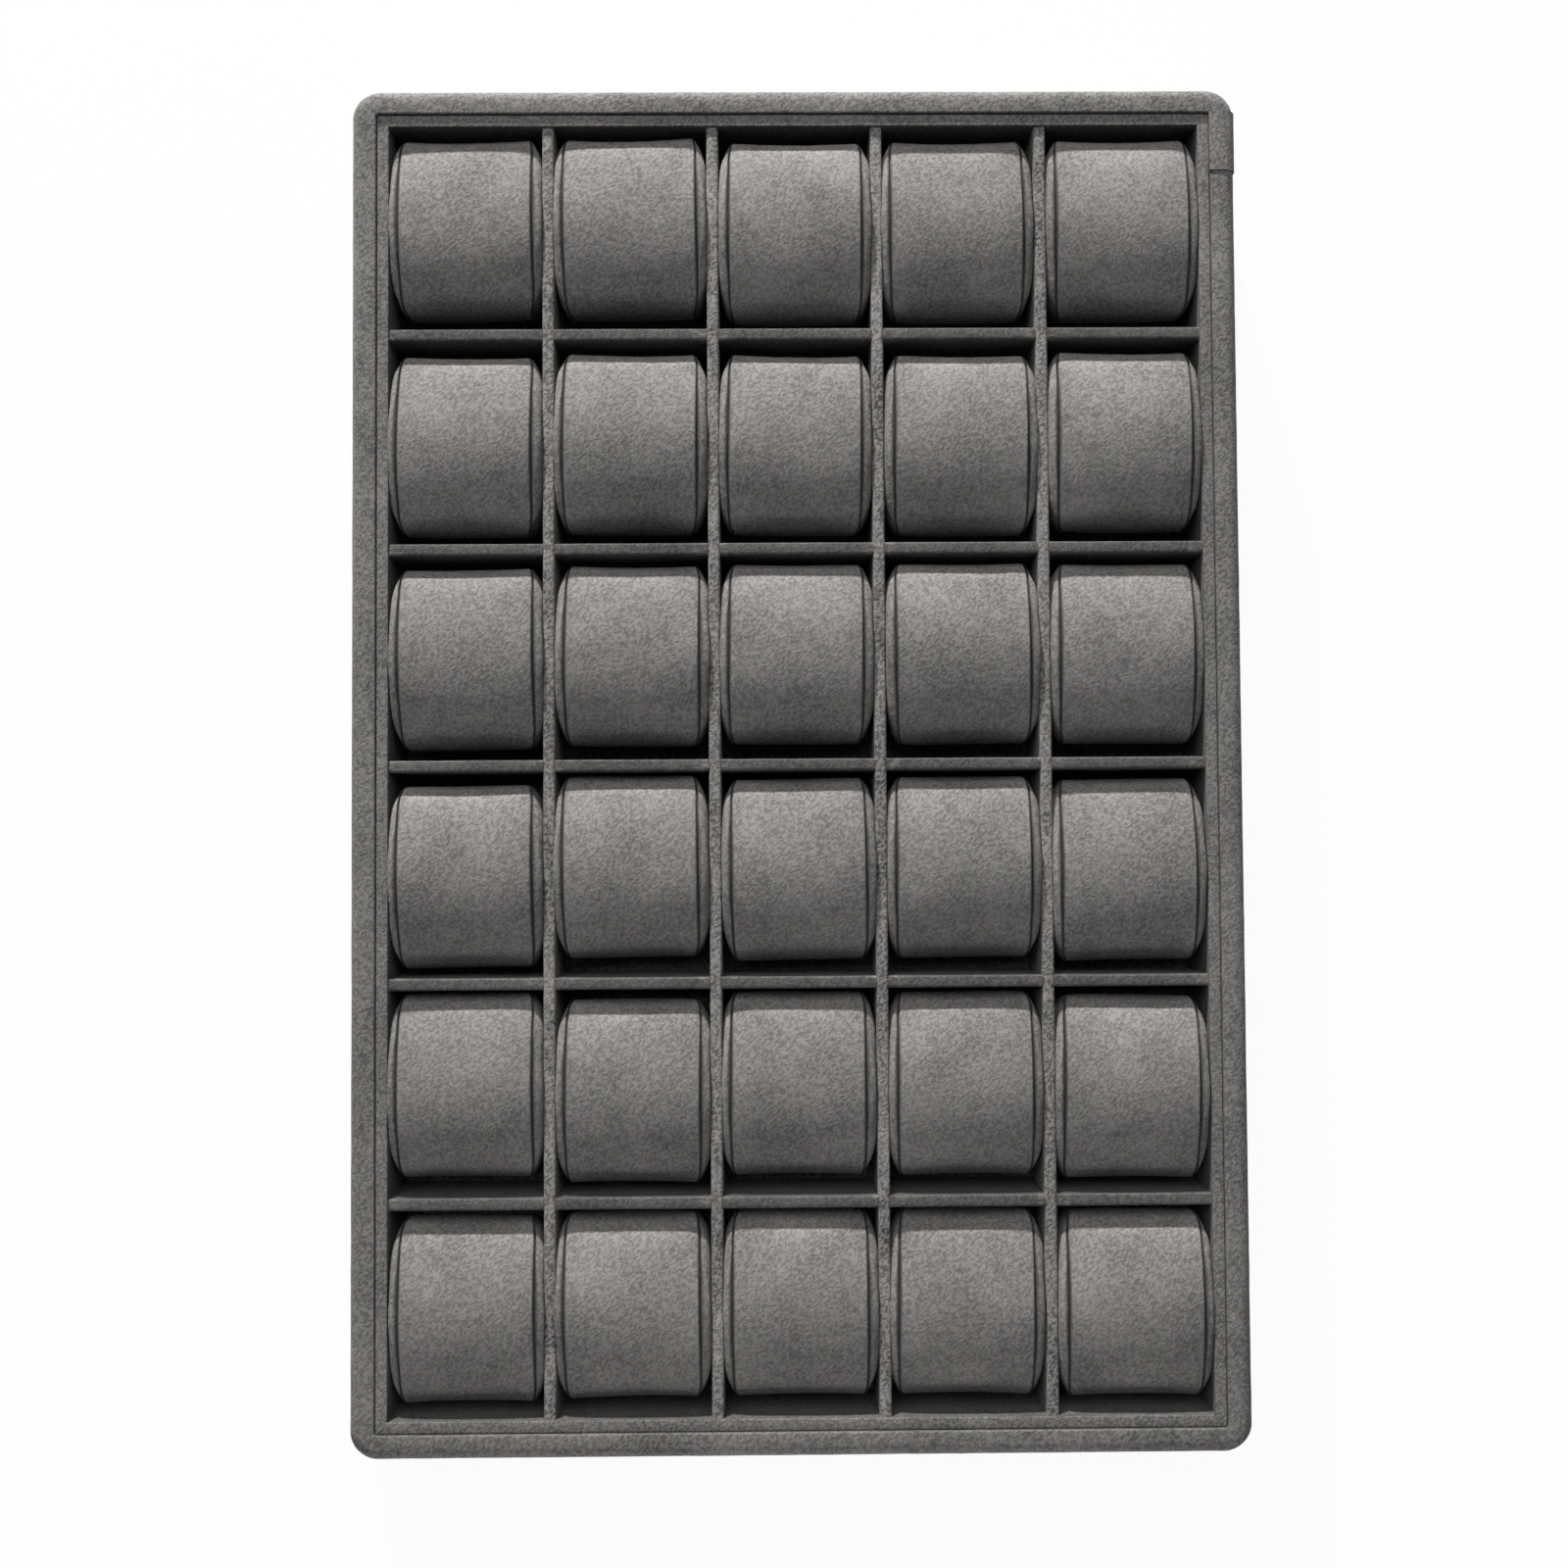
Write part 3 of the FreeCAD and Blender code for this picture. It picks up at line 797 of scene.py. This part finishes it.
def pillow_form(number):
    """One of the pillow shapes, about its own middle and standing on its base. Later ones are fuller."""
    blank = bpy.data.meshes.new("pillow_blank")
    bm = pillow_blank()
    bm.to_mesh(blank)
    bm.free()
    moved = swollen(blank, PRESSURE * (PRESSURE_LEAST + PRESSURE_STEP * number))
    normals = [vert.normal.copy() for vert in blank.vertices]
    painted_shade = blank.attributes.new(SHADE_LAYER, "FLOAT", "POINT")
    half_length = pillow_size.y / 2
    for vert, after, normal in zip(blank.vertices, moved, normals):
        before = vert.co.copy()
        side = math.copysign(1.0, before.x)
        # Painted shade in the seam groove: darkest on the seam, fading out a little way to each side.
        painted_shade.data[vert.index].value = max(0.0, 1 - abs(abs(before.x) - WRAP_HALF) / SEAM_SHADE_SPREAD)
        if is_seam(before):
            across = Vector((0.0, normal.y, normal.z)).normalized()
            point = before - across * SEAM_DEPTH
        else:
            most = PANEL_SWELL if is_panel(before) else WRAP_SWELL
            point = before + limited(after - before, most)
        if is_panel(before):
            lean = bell(point.z, divider_rise - OVERHANG_EDGE, pillow_size.z - OVERHANG_EDGE)
            lean *= bell(point.y, -half_length * OVERHANG_SHARE, half_length * OVERHANG_SHARE)
            point.x += side * OVERHANG * lean
        point.x *= narrowing(before.y)
        point.z *= 1 - SHOULDER_DROP / pillow_size.z * (before.y / half_length) ** 2
        vert.co = point
    return blank


FORMS = 5
PILLOW_SEED = 30
DENT_SEEDS = 100.0
HEIGHT_LEAST = 0.98
HEIGHT_MOST = 1.025
BACKWARD = 0.9 * MM
SHIFT = 1.3 * MM
SIDE_SHIFT = 0.5 * MM
TURN = math.radians(0.7)
TILT = math.radians(1.3)
DENT = 0.25 * MM
DENT_SIZE = 24 * MM


def dented(point, normal, seed):
    """A point moved by the slight unevenness of a stuffed pillow."""
    return point + normal * DENT * noise.noise(point / DENT_SIZE + Vector((seed, 0.0, seed)))


def kept_clear(point, column):
    """A point held off the dividers, or off the liner beside the first and the last column."""
    side = -1 if point.x < 0 else 1
    beside_liner = (side < 0 and column == 1) or (side > 0 and column == COLUMNS)
    limit = half_cell_width - DIVIDER_CLEARANCE
    if beside_liner or point.z < divider_rise + DIVIDER_CLEARANCE:
        point.x = side * min(abs(point.x), limit)
    reach = half_cell_length - DIVIDER_CLEARANCE
    point.y = max(-reach, min(reach, point.y))
    point.z = max(point.z, 0.0)
    return point


def pillows():
    """Thirty pillows from a few forms, each a little shifted, turned, tilted and dented in its own way."""
    forms = [pillow_form(number) for number in range(FORMS)]
    chance = random.Random(PILLOW_SEED)
    for row in range(1, ROWS + 1):
        for column in range(1, COLUMNS + 1):
            node = f"pillow_r{row}c{column}"
            low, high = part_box(node)
            mesh = forms[chance.randrange(FORMS)].copy()
            seed = chance.uniform(0.0, DENT_SEEDS)
            height = chance.uniform(HEIGHT_LEAST, HEIGHT_MOST)
            aside = chance.uniform(-SIDE_SHIFT, SIDE_SHIFT)
            shift = Vector((aside, BACKWARD + chance.uniform(-SHIFT, SHIFT), 0.0))
            turn = Matrix.Rotation(chance.uniform(-TURN, TURN), 3, "Z")
            tilt = Matrix.Rotation(chance.uniform(-TILT, TILT), 3, "X")
            spot = Vector(((low.x + high.x) / 2, (low.y + high.y) / 2, low.z))
            normals = [vert.normal.copy() for vert in mesh.vertices]
            for vert, normal in zip(mesh.vertices, normals):
                point = dented(vert.co, normal, seed)
                point.z *= height
                point = turn @ tilt @ point + shift
                vert.co = kept_clear(point, column) + spot
            body = f"loose_{node}"
            pillow = piece_of(mesh, f"cushion_r{row}c{column}", pillow_suede, body, "pillow_suede", node)
            smooth = pillow.modifiers.new("smooth", "SUBSURF")
            smooth.levels = 1
            smooth.render_levels = 1
    for form in forms:
        bpy.data.meshes.remove(form)


rim_covers()
rim_lap()
liner_covers()
column_covers()
row_covers()
pillows()

# CAD nodes that show as they are

CAD_LOOKS = {"floor_lining": tray_suede, "backing_sheet": backing_look}
for name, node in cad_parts.items():
    if not node.hide_render:
        node.data.materials.clear()
        node.data.materials.append(CAD_LOOKS.get(name, board_look))


# Stage, light and camera

def lit_by_eye(look):
    """1 for what the camera sees straight, in gloss or through glass, and 0 for light on the object."""
    path = look.node("ShaderNodeLightPath", {}, {}, "Is Camera Ray")
    node = path.socket.node
    glossy = Value(look, node.outputs["Is Glossy Ray"])
    through = Value(look, node.outputs["Is Transmission Ray"])
    return path.math("MINIMUM", path + glossy + through, 1.0)


AMBIENT = 0.015
WHITE = grey(1.0)


def white_world():
    """A world that looks white and gives the tray only a little light."""
    world = bpy.data.worlds.new("studio")
    bpy.context.scene.world = world
    look = Look(world)
    strength = AMBIENT + lit_by_eye(look) * (1.0 - AMBIENT)
    background = look.node("ShaderNodeBackground", {}, {"Color": WHITE, "Strength": strength})
    look.node("ShaderNodeOutputWorld", {}, {"Surface": background})


TABLE_SIZE = 30.0
TABLE_GREY = grey(0.85)
SHADOW_SHARE = 0.05


def white_table():
    """A white table top that keeps a faint shadow of the tray."""
    bm = bmesh.new()
    bmesh.ops.create_grid(bm, x_segments=1, y_segments=1, size=TABLE_SIZE)
    mesh = bpy.data.meshes.new("table")
    bm.to_mesh(mesh)
    bm.free()
    look = Look(bpy.data.materials.new("white_table"))
    paper = look.node("ShaderNodeBsdfDiffuse", {}, {"Color": TABLE_GREY})
    glow = look.node("ShaderNodeEmission", {}, {"Color": WHITE, "Strength": 1.0})
    share = lit_by_eye(look) * (1 - SHADOW_SHARE)
    mesh.materials.append(look.surface(look.node("ShaderNodeMixShader", {}, {0: share, 1: paper, 2: glow})))
    table = bpy.data.objects.new("table", mesh)
    bpy.context.scene.collection.objects.link(table)


LAMPS = (
    ("low_key", 10, 14, 2.6, 138.0, 0.16),
    ("high_fill", 10, 60, 2.6, 41.0, 2.2),
    ("front_fill", 180, 10, 0.6, 0.9, 0.2),
)


def lamps():
    """Square lamps that face the tray's middle. Each has its name, its turn in degrees from straight behind
    the tray to its left, its rise in degrees, its distance, its watts and its width."""
    for name, aside, rise, distance, watts, width in LAMPS:
        lamp = bpy.data.lights.new(name, "AREA")
        lamp.energy = watts
        lamp.size = width
        light = bpy.data.objects.new(name, lamp)
        swing = Matrix.Rotation(math.radians(aside), 4, "Z")
        tip = Matrix.Rotation(math.radians(rise - 90), 4, "X")
        light.matrix_world = swing @ tip @ Matrix.Translation((0.0, 0.0, distance))
        light.visible_camera = False
        bpy.context.scene.collection.objects.link(light)


CAMERA_PLACE = Vector((-11.1, -28.1, 659.0)) * MM
CAMERA_TURN = (math.radians(1.97), math.radians(-0.56), math.radians(-0.36))
CAMERA_LENS = 40.74
SENSOR_WIDTH = 36.0


def camera_above():
    """A camera above the tray, a little to the front of its middle."""
    lens = bpy.data.cameras.new("camera")
    lens.sensor_width = SENSOR_WIDTH
    lens.lens = CAMERA_LENS
    camera = bpy.data.objects.new("camera", lens)
    camera.location = CAMERA_PLACE
    camera.rotation_euler = CAMERA_TURN
    bpy.context.scene.collection.objects.link(camera)
    bpy.context.scene.camera = camera


white_world()
white_table()
lamps()
camera_above()
bpy.context.scene.view_settings.view_transform = "Standard"
